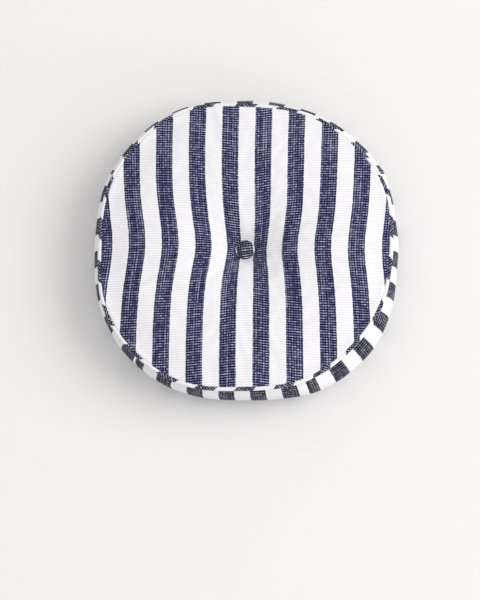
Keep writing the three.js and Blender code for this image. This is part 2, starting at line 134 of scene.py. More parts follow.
def panel_height(side, seam):
    """The outer face of a panel's CAD solid, as height over share of the seam's radius."""
    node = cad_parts[f"{SIDE_NAMES[side]}_panel"]
    heights = []
    for share in PROFILE_SHARES:
        x = share * seam.radius(0.0)
        start = Vector((x, RAY_OFF_AXIS, side * RAY_START))
        hit, place, _, _ = node.ray_cast(start, Vector((0, 0, -side)))
        if not hit:
            raise RuntimeError(f"no panel under x = {x}")
        heights.append(place.z)
    return monotone_curve(PROFILE_SHARES, heights)


PIPING_SQUEEZE = 0.9  # the seam squeezes the piping's cloth in against its cord
SEAM_DROP = 2.8 * MM  # the seam lies this far under the piping's centre
BUTTON_SINK = 0.4 * MM  # the buttons' cloth reaches this far under the solid
BUTTON_FULLNESS = 1.03  # the gathered cloth is a little fuller than the solid

seams = {FRONT: SeamLine("front_piping_cord"), BACK: SeamLine("back_piping_cord")}
MID_Z = (seams[FRONT].z + seams[BACK].z) / 2
SEAM_HALF = seams[FRONT].z - SEAM_DROP - MID_Z
PIPING_RADIUS = PIPING_SQUEEZE * (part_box("front_piping_cover")[1].z - seams[FRONT].z)
BAND_RADIUS = -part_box("boxing_left")[0].x
ZIP_RADIUS = BAND_RADIUS
button_low, button_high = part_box("front_button_cover")
BUTTON_SEAT = button_low.z - MID_Z - BUTTON_SINK
BUTTON_RADIUS = BUTTON_FULLNESS * button_high.x
BUTTON_HEIGHT = button_high.z - button_low.z
panel_heights = {side: panel_height(side, seams[side]) for side in (FRONT, BACK)}


# ---- Small helpers ----

NOISE_LAYER = 7.31  # how far apart two seeds lie in the noise


def smoothstep(x, low, high):
    t = np.clip((x - low) / (high - low), 0, 1)
    return t * t * (3 - 2 * t)


def ripple(x, y, seed):
    """Smooth noise of unit scale, the same on every run."""
    return noise.noise(Vector((x, y, seed * NOISE_LAYER)))


def bumps(degrees, table):
    """The sum of smooth bumps round the cushion, each given by its height, its angle and its width."""
    total = 0.0
    for height, centre, width in table:
        off = (degrees - centre + 180) % 360 - 180
        total += height * math.exp(-((off / width) ** 2))
    return total


def polar(radius, angle, z):
    return (radius * math.cos(angle), radius * math.sin(angle), z)


def with_lengths(rows, length=0.0):
    """Rows of (radius, z) as (radius, z, length), with the length of cloth up to each row."""
    out = []
    last = rows[0]
    for radius, z in rows:
        length += math.hypot(radius - last[0], z - last[1])
        last = (radius, z)
        out.append((radius, z, length))
    return out


def new_piece(name, vertices, faces, uvs, material, slot, replaces=(), body="cushion"):
    """A smooth-shaded mesh object on a body. uvs holds (u, v) for each corner of each face."""
    mesh = bpy.data.meshes.new(name)
    mesh.from_pydata([tuple(v) for v in vertices], [], faces)
    if uvs is not None:
        layer = mesh.uv_layers.new(name="weave")
        layer.data.foreach_set("uv", np.array(uvs, np.float32).ravel())
    mesh.polygons.foreach_set("use_smooth", [True] * len(mesh.polygons))
    mesh.materials.append(material)
    piece = bpy.data.objects.new(name, mesh)
    bpy.context.scene.collection.objects.link(piece)
    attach(piece, body)
    if replaces:
        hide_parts(*replaces)
    return piece


def subdivide(piece):
    modifier = piece.modifiers.new("smooth", "SUBSURF")
    modifier.levels = modifier.render_levels = 1


def thicken(piece, thickness):
    """Gives a sheet its thickness on its inner side, so that it is one closed body."""
    modifier = piece.modifiers.new("thickness", "SOLIDIFY")
    modifier.thickness = thickness
    modifier.offset = -1


def round_edges(piece, width):
    weld = piece.modifiers.new("weld", "WELD")
    weld.merge_threshold = 0.01 * MM
    bevel = piece.modifiers.new("bevel", "BEVEL")
    bevel.width = width
    bevel.segments = 2
    bevel.limit_method = "ANGLE"


def square(i, j):
    """The corners of a grid's square, in order."""
    return [(i, j), (i + 1, j), (i + 1, j + 1), (i, j + 1)]


def grid_faces(rows, columns, close_rows=False, close_columns=False, turned=False):
    """Quads between the points (i, j), numbered i * columns + j, and each corner's unwrapped (i, j)."""
    faces, corners = [], []
    for i in range(rows if close_rows else rows - 1):
        for j in range(columns if close_columns else columns - 1):
            quad = square(i, j)[::-1] if turned else square(i, j)
            faces.append([(a % rows) * columns + b % columns for a, b in quad])
            corners += quad
    return faces, corners


def directions(path):
    """The unit direction of an open path at each of its points."""
    ahead = np.roll(path, -1, 0) - np.roll(path, 1, 0)
    ahead[0] = path[1] - path[0]
    ahead[-1] = path[-1] - path[-2]
    return ahead / np.linalg.norm(ahead, axis=1)[:, None]


def tube(path, radius, sides):
    """A round tube along an open path, its ends closed: vertices and faces."""
    path = np.array(path, float)
    ahead = directions(path)
    side = np.cross(ahead, [0.0, 0.0, 1.0])
    upright = np.linalg.norm(side, axis=1) < 0.2
    side[upright] = np.cross(ahead[upright], [1.0, 0.3, 0.0])
    side /= np.linalg.norm(side, axis=1)[:, None]
    over = np.cross(side, ahead)
    turns = (np.arange(sides) * TAU / sides)[None, :, None]
    ring = np.cos(turns) * side[:, None, :] + np.sin(turns) * over[:, None, :]
    radii = np.broadcast_to(radius, len(path))[:, None, None]
    vertices = (path[:, None, :] + radii * ring).reshape(-1, 3)
    faces, _ = grid_faces(len(path), sides, close_columns=True)
    faces.append(list(range(sides))[::-1])
    faces.append([(len(path) - 1) * sides + k for k in range(sides)])
    return vertices, faces


def merged(parts):
    """Several (vertices, faces) as one."""
    vertices, faces, count = [], [], 0
    for part_vertices, part_faces in parts:
        vertices.append(np.array(part_vertices, float))
        faces += [[count + k for k in face] for face in part_faces]
        count += len(part_vertices)
    return np.concatenate(vertices), faces


# ---- Materials ----


def srgb(red, green, blue):
    """A colour given as 0 to 255 in sRGB, as linear RGBA."""
    channels = [c / 255 for c in (red, green, blue)]
    linear = [c / 12.92 if c <= 0.04045 else ((c + 0.055) / 1.055) ** 2.4 for c in channels]
    return (*linear, 1.0)


class Graph:
    """Short calls for building one material's nodes. Values are numbers, colours or sockets."""

    def __init__(self, name):
        self.material = bpy.data.materials.new(name)
        self.material.use_nodes = True
        self.tree = self.material.node_tree
        self.shader = self.tree.nodes["Principled BSDF"]

    def set(self, socket, value):
        if isinstance(value, bpy.types.NodeSocket):
            self.tree.links.new(value, socket)
        else:
            socket.default_value = value

    def node(self, kind, inputs=(), **settings):
        node = self.tree.nodes.new(kind)
        for key, value in settings.items():
            setattr(node, key, value)
        for key, value in dict(inputs).items():
            self.set(node.inputs[key], value)
        return node

    def math(self, operation, a, b=0.0):
        return self.node("ShaderNodeMath", {0: a, 1: b}, operation=operation).outputs[0]

    def add(self, a, b):
        return self.math("ADD", a, b)

    def times(self, a, b):
        return self.math("MULTIPLY", a, b)

    def ramp(self, value, low, high, to_low=0.0, to_high=1.0):
        """A smooth step from to_low to to_high as value goes from low to high."""
        inputs = {"Value": value, "From Min": low, "From Max": high, "To Min": to_low, "To Max": to_high}
        return self.node("ShaderNodeMapRange", inputs, interpolation_type="SMOOTHSTEP").outputs["Result"]

    def vector(self, x, y, z=0.0):
        return self.node("ShaderNodeCombineXYZ", {0: x, 1: y, 2: z}).outputs[0]

    def stretch(self, vector, scale):
        return self.node("ShaderNodeMapping", {"Vector": vector, "Scale": scale}).outputs[0]

    def noise(self, vector, scale, detail=2.0):
        inputs = {"Vector": vector, "Scale": scale, "Detail": detail}
        return self.node("ShaderNodeTexNoise", inputs).outputs["Fac"]

    def streaks(self, u, v, per_u, per_v, detail=1.0):
        """A noise with so many features to each metre of u and of v."""
        return self.noise(self.vector(self.times(u, per_u), self.times(v, per_v)), 1.0, detail)

    def chance(self, vector):
        """A random number from 0 to 1 for each whole-number vector."""
        return self.node("ShaderNodeTexWhiteNoise", {"Vector": vector}).outputs["Value"]

    def mix(self, factor, a, b):
        node = self.node("ShaderNodeMix", data_type="RGBA")
        self.set(node.inputs["Factor"], factor)
        self.set(node.inputs[6], a)
        self.set(node.inputs[7], b)
        return node.outputs[2]

    def weave_uv(self):
        uv = self.node("ShaderNodeUVMap", uv_map="weave").outputs[0]
        split = self.node("ShaderNodeSeparateXYZ", {0: uv})
        return split.outputs[0], split.outputs[1]

    def object_place(self):
        return self.node("ShaderNodeTexCoord").outputs["Object"]

    def bump(self, height, distance, strength=1.0):
        inputs = {"Height": height, "Distance": distance, "Strength": strength}
        return self.node("ShaderNodeBump", inputs).outputs["Normal"]

    def finish(self, color, roughness, normal=None, metallic=0.0, sheen=0.0, specular=0.5):
        inputs = {"Base Color": color, "Roughness": roughness, "Metallic": metallic}
        inputs |= {"Sheen Weight": sheen, "Specular IOR Level": specular}
        if normal is not None:
            inputs["Normal"] = normal
        for key, value in inputs.items():
            self.set(self.shader.inputs[key], value)
        return self.material


# The darkest and lightest navy yarn, then the dimmest and brightest white floats over it.
PANEL_YARNS = (srgb(6, 7, 40), srgb(22, 25, 72), srgb(120, 123, 160), srgb(186, 188, 214))
# The side band's yarns are darker and greyer than the panels': painted shade of the band, not a
# different cloth.
SHADED_BAND_YARNS = (srgb(10, 10, 26), srgb(26, 26, 50), srgb(112, 112, 130), srgb(172, 172, 186))
TRIM_YARNS = (srgb(6, 6, 30), srgb(20, 21, 54), srgb(126, 128, 154), srgb(208, 209, 224))
WHITE_YARN = srgb(242, 241, 244)
# The white between the weft's ribs, in painted shade, and in the cells of dimmer yarn.
WHITE_DIM_YARN_AND_GROOVE_SHADE = srgb(224, 222, 227)


def band_mask(g, fraction, half, soft):
    """1 within half of the middle of a 0 to 1 fraction, falling to 0 over soft."""
    distance = g.math("ABSOLUTE", g.add(fraction, -0.5))
    return g.ramp(distance, g.add(half, soft), half)


class Threads:
    """Where a point of the striped cloth lies among its threads, which wander a little."""

    def __init__(self, g):
        u, v = g.weave_uv()
        place = g.vector(u, v)
        self.u = g.add(u, g.times(g.add(g.noise(place, 22.0), -0.5), 1.2 * MM))
        self.v = g.add(v, g.times(g.add(g.noise(place, 31.0), -0.5), 1.6 * MM))
        row = g.math("DIVIDE", self.v, WEFT_PITCH)
        column = g.math("DIVIDE", self.u, WARP_PITCH)
        self.row_number = g.math("FLOOR", row)
        self.column_number = g.math("FLOOR", column)
        self.along = g.math("FRACT", row)
        self.across = g.math("FRACT", column)
        self.luck = g.chance(g.vector(self.column_number, self.row_number))


def float_brightness(g, threads):
    """Floats are brighter in some cells than in others, and along some threads."""
    luck = g.chance(g.vector(threads.column_number, threads.row_number, 5.0))
    streak = g.streaks(threads.u, threads.v, 420.0, 9.0)
    slub = g.streaks(threads.u, threads.v, 40.0, 330.0)
    return g.ramp(g.add(streak, g.add(g.times(slub, 0.5), g.times(luck, 0.4))), 0.6, 1.3)


def navy_cloth(g, threads, yarns):
    """Navy warp under short white dashes of weft, with a lighter warp thread here and there."""
    navy_dark, navy_light, float_dim, float_bright = yarns
    bright = float_brightness(g, threads)
    half_length = g.ramp(threads.luck, 0.0, 1.0, 0.24, 0.44)
    in_length = band_mask(g, threads.across, half_length, 0.08)
    dash = g.times(in_length, band_mask(g, threads.along, 0.15, 0.09))
    dashes = g.times(dash, g.ramp(bright, 0.0, 1.0, 0.55, 1.0))
    light_warp = g.ramp(g.streaks(threads.column_number, threads.v, 1.37, 11.0), 0.5, 0.66)
    warp_lines = g.times(band_mask(g, threads.across, 0.1, 0.1), g.times(light_warp, 0.45))
    navy = g.mix(g.streaks(threads.u, threads.v, 420.0, 60.0, 2.0), navy_dark, navy_light)
    return g.mix(g.math("MAXIMUM", dashes, warp_lines), navy, g.mix(bright, float_dim, float_bright))


def navy_stripe_mask(g, threads):
    """1 in the navy stripes. Their edges step in and out a little from row to row."""
    step = g.times(g.add(g.chance(g.vector(7.0, threads.row_number)), -0.5), 0.4 * MM)
    stripe = g.math("FRACT", g.math("DIVIDE", g.add(threads.u, step), STRIPE))
    return band_mask(g, stripe, 0.243, 0.014)


def ticking_material(name, yarns):
    """The cushion's cloth: a navy and white warp, and a white weft that floats over it in dashes."""
    g = Graph(name)
    threads = Threads(g)
    rib = band_mask(g, threads.along, 0.22, 0.28)
    # The white is darker between the weft's ribs, painted shade of the grooves, and in random cells, a
    # dimmer yarn.
    white_cloth = g.mix(g.add(g.times(rib, 0.8), g.times(threads.luck, 0.2)), WHITE_DIM_YARN_AND_GROOVE_SHADE, WHITE_YARN)
    color = g.mix(navy_stripe_mask(g, threads), white_cloth, navy_cloth(g, threads, yarns))
    height = g.add(g.times(rib, 0.6), g.times(band_mask(g, threads.across, 0.25, 0.25), 0.4))
    return g.finish(color, 0.92, g.bump(height, 0.35 * MM, 0.55), sheen=0.03, specular=0.12)


def weave_material(name, light, dark, pitch):
    """A plain woven cloth or tape in one colour."""
    g = Graph(name)
    u, v = g.weave_uv()
    across = g.math("FRACT", g.math("DIVIDE", u, pitch))
    along = g.math("FRACT", g.math("DIVIDE", v, pitch))
    height = g.times(band_mask(g, across, 0.2, 0.3), band_mask(g, along, 0.2, 0.3))
    # The tape is darker between its threads, painted shade of the gaps, with a noise of uneven tone over
    # it.
    color = g.mix(g.add(g.times(height, 0.7), g.times(g.noise(g.vector(u, v), 90.0), 0.3)), dark, light)
    return g.finish(color, 0.9, g.bump(height, 0.2 * MM, 0.6), sheen=0.15)


def solid_material(name, light, dark, scale, depth, roughness):
    """A material whose colour and surface vary with a fine noise through the solid."""
    g = Graph(name)
    place = g.object_place()
    grain = g.noise(place, scale, 4.0)
    patch = g.noise(place, scale * 0.12)
    color = g.mix(g.ramp(g.add(grain, patch), 0.7, 1.3), dark, light)
    rough = g.ramp(grain, 0.2, 0.8, roughness - 0.06, roughness + 0.06)
    return g.finish(color, rough, g.bump(grain, depth))


def foam_material(name):
    """Open-cell foam: small round cells with thin bright walls, their hollows darker in painted shade.
    """
    g = Graph(name)
    place = g.object_place()
    cells = g.node("ShaderNodeTexVoronoi", {"Vector": place, "Scale": 520.0}).outputs["Distance"]
    wall = g.ramp(cells, 0.1, 0.55)
    yellowing = g.mix(g.noise(place, 9.0), srgb(245, 236, 200), srgb(236, 222, 176))
    # The cells' hollows get the darker colour: painted shade. The yellowing varies with a noise.
    color = g.mix(wall, srgb(206, 190, 142), yellowing)
    return g.finish(color, 0.95, g.bump(wall, 0.8 * MM))


def fibre_material(name):
    """Loose white wadding: long fibres running every way."""
    g = Graph(name)
    place = g.object_place()
    stretched = g.stretch(place, (900.0, 160.0, 300.0))
    crossed = g.stretch(place, (160.0, 900.0, 300.0))
    strands = g.math("MAXIMUM", g.noise(stretched, 1.0, 3.0), g.noise(crossed, 1.0, 3.0))
    # The fibres are lighter and the spaces between them darker: painted shade.
    color = g.mix(g.ramp(strands, 0.4, 0.75), srgb(222, 222, 220), srgb(250, 250, 249))
    return g.finish(color, 1.0, g.bump(strands, 1.2 * MM), sheen=0.4)


def cord_material(name):
    """Twisted cotton: slanted strands round the cord."""
    g = Graph(name)
    place = g.object_place()
    split = g.node("ShaderNodeSeparateXYZ", {0: place})
    lean = g.add(g.add(split.outputs[0], split.outputs[1]), g.times(split.outputs[2], 1.6))
    strand = g.math("FRACT", g.times(lean, 420.0))
    ridge = band_mask(g, strand, 0.1, 0.4)
    fuzz = g.times(g.noise(place, 2400.0, 3.0), 0.3)
    # The strands' ridges are lighter and the grooves between them darker: painted shade. The fuzz varies
    # at random.
    color = g.mix(g.add(g.times(ridge, 0.7), fuzz), srgb(204, 196, 176), srgb(245, 240, 226))
    return g.finish(color, 0.95, g.bump(g.add(ridge, fuzz), 0.4 * MM), sheen=0.3)


def metal_material(name, light, dark, roughness):
    """Plated metal with fine brush marks, cloudy in places."""
    g = Graph(name)
    place = g.object_place()
    marks = g.noise(g.stretch(place, (700.0, 700.0, 5200.0)), 1.0, 3.0)
    cloud = g.noise(place, 260.0)
    color = g.mix(g.ramp(cloud, 0.3, 0.7), dark, light)
    rough = g.add(g.times(marks, 0.16), roughness)
    return g.finish(color, rough, g.bump(marks, 0.02 * MM), metallic=1.0)


striped = ticking_material("striped_cotton", PANEL_YARNS)
shaded_band_striped = ticking_material("striped_cotton_band_shaded", SHADED_BAND_YARNS)  # darker and greyer than the panels': painted shade of the side band
trim_striped = ticking_material("striped_cotton_trim", TRIM_YARNS)  # stretched, so its floats stand out
tape_cloth = weave_material("zip_tape", srgb(238, 236, 230), srgb(206, 203, 196), 0.55 * MM)
nylon = solid_material("nylon_coil", srgb(240, 238, 232), srgb(222, 219, 211), 900.0, 0.01 * MM, 0.42)
thread = solid_material("white_thread", srgb(246, 245, 242), srgb(216, 214, 209), 2600.0, 0.05 * MM, 0.8)
cotton = cord_material("cotton_cord")
foam = foam_material("foam")
fibre = fibre_material("wadding")
zip_metal = metal_material("zip_metal", srgb(206, 207, 209), srgb(176, 177, 180), 0.24)
button_metal = metal_material("button_metal", srgb(196, 197, 199), srgb(150, 151, 153), 0.34)


# ---- Panels: woven discs, drawn in by the button, made up as cloth ----

PANEL_GRID = 4.5 * MM  # size of the simulated squares
GRID_MARGIN = 0.6 * PANEL_GRID  # the squares stop this far inside the rings
FIT_ROUNDS = 12  # by then a ring's flat points have settled
RIM_INSETS = (0.9 * MM, 2.7 * MM)  # the seam itself, and the top of the roll beside the piping
EDGE_ROLL = 5.6 * MM  # the panel's edge is full enough to roll up against its piping
EDGE_ROLL_WIDTH = 9.5 * MM

CUT_SHIFT = 1.9 * MM  # the cutter set the middle white stripe this far off centre
CUT_TURN = 0.012  # and turned it a little, in radians
BOW = 1.7 * MM  # the threads bow sideways over the middle
BOW_PLACE = 28 * MM
BOW_WIDTH = 46 * MM

CLOTH_FRAMES = 22
CLOTH_GROWTH = 0.011  # the cloth was cut a little larger than its place
LOOSE_HOLD = 0.16  # how firmly the cloth away from its seam is kept where it was laid
BUTTON_PATCH = 0.9 * BUTTON_RADIUS  # the cloth is held fast under the button
SINK_LIMIT = 0.8 * MM  # how far the cloth may go in from where it was laid
PUFF_LIMIT = 5 * MM  # and out


def draw_towards_middle(flat):
    """How far the buttons pull each point of a flat panel inwards, most on the middle threads."""
    x, y = flat[:, 0], flat[:, 1]
    pull_x = DRAW_IN * np.tanh(x / DRAW_REACH) / np.cosh(y / (DRAW_WIDTH + DRAW_SPREAD * np.abs(x)))
    pull_y = DRAW_IN * np.tanh(y / DRAW_REACH) / np.cosh(x / (DRAW_WIDTH + DRAW_SPREAD * np.abs(y)))
    return np.stack([pull_x, pull_y], 1)


def inside_seam(placed, seam, margin):
    """How far inside the seam, less a margin, each made-up point lies."""
    return seam.radius(np.arctan2(placed[:, 1], placed[:, 0])) - margin - np.hypot(*placed.T)


def flat_ring(seam, inset, count):
    """Where the points of a ring just inside the seam lie in the flat cloth, before it is drawn in."""
    angles = np.arange(count) * TAU / count
    sewn = np.stack([np.cos(angles), np.sin(angles)], 1) * (seam.radius(angles) - inset)[:, None]
    flat = sewn
    for _ in range(FIT_ROUNDS):
        flat = sewn + draw_towards_middle(flat)
    return flat


def grid_steps(seam):
    """The square grid's points inside the rings: their whole-number places, and their flat points."""
    reach = int(seam.mean * 1.15 / PANEL_GRID) + 1
    steps = [(i, j) for i in range(-reach, reach + 1) for j in range(-reach, reach + 1)]
    grid = np.array(steps) * PANEL_GRID
    kept = inside_seam(grid - draw_towards_middle(grid), seam, RIM_INSETS[-1]) > GRID_MARGIN
    return [step for step, keep in zip(steps, kept) if keep], grid[kept]


def edge_faces(flat, quads, rings):
    """Triangles that fill the cloth between the grid's squares and the rings, and between the rings."""
    edges = {tuple(sorted(pair)) for face in quads + rings for pair in zip(face, face[1:] + face[:1])}
    points = [Vector(p) for p in flat.tolist()]
    _, _, triangles, *_ = delaunay_2d_cdt(points, sorted(edges), [], 1, 1e-7)
    squares_of = {}
    for number, quad in enumerate(quads):
        for corner in quad:
            squares_of.setdefault(corner, set()).add(number)
    in_a_square = [set.intersection(*(squares_of.get(k, set()) for k in face)) for face in triangles]
    return [list(face) for face, squares in zip(triangles, in_a_square) if not squares]


def woven_disc(seam):
    """A panel as it was cut: a square grid along its threads, inside rings that follow the seam.

    Returns the flat points, the faces and the numbers of the outermost ring's points.
    """
    steps, grid = grid_steps(seam)
    index = {step: number for number, step in enumerate(steps)}
    count = int(TAU * seam.mean / PANEL_GRID)
    flat = np.concatenate([grid] + [flat_ring(seam, inset, count) for inset in RIM_INSETS])
    rings = []
    for k in range(len(RIM_INSETS)):
        first = len(steps) + k * count
        rings.append(list(range(first, first + count)))
    quads = []
    for i, j in steps:
        if all(corner in index for corner in square(i, j)):
            quads.append([index[corner] for corner in square(i, j)])
    return flat, quads + edge_faces(flat, quads, rings), rings[0]


def cut_of_cloth(flat):
    """Where on the striped cloth each point of a flat panel was cut."""
    turned = flat @ np.array([[1.0, CUT_TURN], [-CUT_TURN, 1.0]])
    turned[:, 0] -= CUT_SHIFT + BOW * np.exp(-(((flat[:, 1] - BOW_PLACE) / BOW_WIDTH) ** 2))
    return turned


def made_up_points(side, placed, rim):
    """A panel's points before the cloth is run: on the CAD panel's face, rolled up beside the seam."""
    from_seam = inside_seam(placed, seams[side], 0.0)
    share = 1 - from_seam / (from_seam + np.hypot(*placed.T))
    roll = EDGE_ROLL * np.exp(-((from_seam / EDGE_ROLL_WIDTH) ** 2))
    z = panel_heights[side](share) + side * roll
    z[rim] = MID_Z + side * SEAM_HALF
    return np.column_stack([placed, z])


def add_cloth(piece):
    """Light, soft cotton, puffed up from inside. Gravity is left out."""
    modifier = piece.modifiers.new("cloth", "CLOTH")
    settings = modifier.settings
    settings.quality = 7
    settings.mass = 0.15
    settings.tension_stiffness = settings.compression_stiffness = 15
    settings.shear_stiffness = 3
    settings.bending_stiffness = 0.6
    settings.tension_damping = settings.compression_damping = 10
    settings.air_damping = 3
    settings.vertex_group_mass = "held"
    settings.shrink_min = -CLOTH_GROWTH
    settings.use_pressure = True
    settings.uniform_pressure_force = 1.0
    settings.effector_weights.gravity = 0
    modifier.point_cache.frame_end = CLOTH_FRAMES
    return modifier


def relax_cloth(piece, held):
    """Runs the cloth with the held points fast, and returns where its points come to rest."""
    group = piece.vertex_groups.new(name="held")
    group.add(range(len(piece.data.vertices)), LOOSE_HOLD, "REPLACE")
    group.add(held, 1.0, "REPLACE")
    modifier = add_cloth(piece)
    scene = bpy.context.scene
    scene.frame_end = CLOTH_FRAMES
    for number in range(1, CLOTH_FRAMES + 1):
        scene.frame_set(number)
    evaluated = piece.evaluated_get(bpy.context.evaluated_depsgraph_get())
    relaxed = np.array([tuple(v.co) for v in evaluated.data.vertices])
    piece.modifiers.remove(modifier)
    piece.vertex_groups.remove(group)
    scene.frame_set(1)
    return relaxed


def limited(side, start, relaxed):
    """The relaxed points, kept near where they started and out of the floor."""
    final = relaxed.copy()
    lift = side * (relaxed - start)[:, 2]
    limit = np.where(lift < 0, SINK_LIMIT, PUFF_LIMIT)
    final[:, 2] = start[:, 2] + side * limit * np.tanh(lift / limit)
    if side == BACK:
        final[:, 2] = np.maximum(final[:, 2], 0.0)
    return final


def make_panel(side):
    name = f"{SIDE_NAMES[side]}_panel"
    flat, faces, rim = woven_disc(seams[side])
    placed = flat - draw_towards_middle(flat)
    start = made_up_points(side, placed, rim)
    if side == BACK:
        faces = [face[::-1] for face in faces]
    uvs = cut_of_cloth(flat)[[k for face in faces for k in face]]
    piece = new_piece(f"{name}_cloth", start, faces, uvs, striped, "striped_cotton", [name])
    patch = [int(k) for k in np.nonzero(np.hypot(*placed.T) < BUTTON_PATCH)[0]]
    final = limited(side, start, relax_cloth(piece, rim + patch))
    piece.data.vertices.foreach_set("co", final.astype(np.float32).ravel())
    piece.data.update()
    subdivide(piece)
    thicken(piece, CLOTH)


# ---- Piping: a bias strip round a cord, its stripes slanting across it ----

PIPING_RINGS = 720
PIPING_SIDES = 20
PIPING_STRIPES = 22  # slanted stripe pairs round each piping
PIPING_STRIPE_ANGLE = 89.3  # degrees: a navy stripe crosses the top of the piping here
PIPING_SHIFTS = ((3.6, -133, 40), (-1.6, -38, 24))  # how far it was eased along, where and how wide
BIAS = math.sqrt(2)


def piping_ring(side, angle):
    """One ring of a piping's points. The cloth is a little uneven along the cord and round it."""
    seam = seams[side]
    arc = angle * seam.mean / RIPPLE_LENGTH
    loose = 1 + 0.05 * ripple(3.1 * arc, 0.0, 1 + side) + 0.03 * ripple(9.0 * arc, 2.0, 3 + side)
    centre_r = seam.radius(angle) + 0.35 * MM * ripple(0.9 * arc, 5.0, 5 + side)
    centre_z = seam.z + side * 0.3 * MM * ripple(0.8 * arc, 9.0, 7 + side)
    points = []
    for j in range(PIPING_SIDES):
        turn = j * TAU / PIPING_SIDES
        wrinkle = 1 + 0.035 * ripple(6.0 * arc + turn, 3.0 * math.cos(turn), 11 + side)
        radius = PIPING_RADIUS * loose * wrinkle
        out, up = radius * math.cos(turn), side * radius * math.sin(turn)
        points.append(polar(centre_r + out, angle, centre_z + up))
    return points


def piping_uv(side, degrees, turn):
    """Where on the striped cloth a point of the piping was cut, at 45 degrees to the threads."""
    radius = seams[side].mean
    stretch = PIPING_STRIPES * STRIPE * BIAS / (TAU * radius)
    shift = bumps(degrees, PIPING_SHIFTS)
    along = math.radians(degrees - PIPING_STRIPE_ANGLE - shift) * radius * stretch
    around = -(turn - TAU / 4) * PIPING_RADIUS
    return (along + around) / BIAS + STRIPE / 2, (around - along) / BIAS


def make_piping(side):
    name = f"{SIDE_NAMES[side]}_piping_cover"
    vertices = []
    for i in range(PIPING_RINGS):
        vertices += piping_ring(side, i * TAU / PIPING_RINGS - TAU / 4)
    faces, corners = grid_faces(PIPING_RINGS, PIPING_SIDES, True, True, turned=side == FRONT)
    uvs = [piping_uv(side, i * 360 / PIPING_RINGS - 90, j * TAU / PIPING_SIDES) for i, j in corners]
    new_piece(f"{name}_cloth", vertices, faces, uvs, trim_striped, "piping_cotton", [name])


# ---- Side band: the boxing, and the two cloth strips beside the zip ----

ZIP_START, ZIP_END = 30.0, 150.0  # degrees
ZIP_NAVY_ANGLE = 90.0  # a navy stripe crosses the zip strips here
ZIP_EASE = 9.0  # degrees over which the band goes back from the zip's circle to the cushion's outline
ZIP_STIFFENING = 0.75  # how much less the band gives along the zip
SLOT_HALF = 5.4 * MM  # half the width between the strips' folded edges
STRIP_PUFF = 1.0 * MM  # the zip strips stand up between the zip and the seam
BAND_EDGE = seams[FRONT].mean + 0.9 * MM
BAND_PERIOD = math.degrees(STRIPE / BAND_RADIUS)
# How far the band fills out or is pulled flat, in mm, and where and over what width, in degrees.
BAND_SWELLS = ((9.0, -46, 22), (-4.0, 18, 18), (-2.5, -112, 24), (-3.0, -155, 13))
# The boxing is pieced: where each piece starts and ends and where a navy stripe crosses it, in degrees,
# and how far the cloth is stretched.
BOXING_PIECES = {
    "boxing_left": (ZIP_END - 360, -134.3, -164.2, 1.055),
    "boxing_bottom": (-134.3, -66.2, -97.2, 1.0),
    "boxing_right": (-66.2, ZIP_START, -16.9, 0.995),
}
BOXING_ROWS = 31
BOXING_STEP = 0.4  # degrees between two rows of points
BOXING_GAP = 0.03  # degrees between two pieces of the boxing
BOXING_LAP = 0.55  # degrees that the boxing's folded ends lie over the zip strips
LAP_LIFT = 1.1 * MM  # a lapped end lies this far over the band
LAP_SLOPE = (0.9, 2.4)  # and comes down to it between these degrees from the end
LAP_TURN = 0.9 * MM  # its very edge turns under by this much
LAP_TURN_WIDTH = 0.22  # degrees
JOIN_DIP = 1.3 * MM  # a sewn end dips in by this much
JOIN_WIDTH = 0.28  # degrees
SHADED_BAND_CLOTH = (shaded_band_striped, "striped_cotton")  # a material and its slot: the side band's cloth, with its painted shade


def zip_share(degrees):
    """1 along the zip, 0 well away from its ends."""
    off = abs((degrees - 90 + 180) % 360 - 180) - (ZIP_END - ZIP_START) / 2
    return 1 - smoothstep(off, 0.0, ZIP_EASE)


def band_unevenness(angle, z, q):
    """Loose cloth between the seams, and the puckers that run in from them."""
    arc = angle * BAND_RADIUS / RIPPLE_LENGTH
    loose = 1.1 * MM * ripple(1.1 * arc, z / (35 * MM), 21) * (1 - q**4)
    pucker = 0.55 * MM * ripple(5.2 * arc, z / (30 * MM), 25) * math.exp(-(1 - q) * SEAM_HALF / (5 * MM))
    return loose + pucker * (1 - q**8)


def band_radius(degrees, z):
    """The band's outer face, filled out between the seams. Beside the zip it keeps to a true circle."""
    angle = math.radians(degrees)
    off_middle = abs(z - MID_Z)
    q = min(1.0, off_middle / SEAM_HALF)
    zipped = zip_share(degrees)
    off_zip = smoothstep(off_middle, SLOT_HALF, SEAM_HALF - 10 * MM)
    outline = seams[FRONT].outline(angle) * (1 - zipped * (1 - off_zip))
    belly = (BAND_RADIUS - BAND_EDGE) * (1 - q**3)
    swell = bumps(degrees, BAND_SWELLS) * MM * (1 - q**2)
    give = (swell + band_unevenness(angle, z, q)) * (1 - ZIP_STIFFENING * zipped)
    strip_puff = zipped * STRIP_PUFF * math.sin(math.pi * q) ** 2
    return BAND_EDGE + outline + belly + give + strip_puff


def sweep_band(name, section, span, step, navy_angle, stretch=1.0, cloth=SHADED_BAND_CLOTH):
    """A band of cloth round the cushion. section(degrees) gives rows of (radius, z, length of cloth)."""
    start, end = span
    count = int(round((end - start) / step)) + 1
    vertices, uv_rows = [], []
    for i in range(count):
        degrees = start + (end - start) * i / (count - 1)
        rows = section(degrees)
        vertices += [polar(radius, math.radians(degrees), z) for radius, z, _ in rows]
        across = ((degrees - navy_angle) / (stretch * BAND_PERIOD) + 0.5) * STRIPE
        uv_rows.append([(across, length) for _, _, length in rows])
    faces, corners = grid_faces(count, len(uv_rows[0]))
    uvs = [uv_rows[i][j] for i, j in corners]
    return new_piece(f"{name}_cloth", vertices, faces, uvs, *cloth, [name])


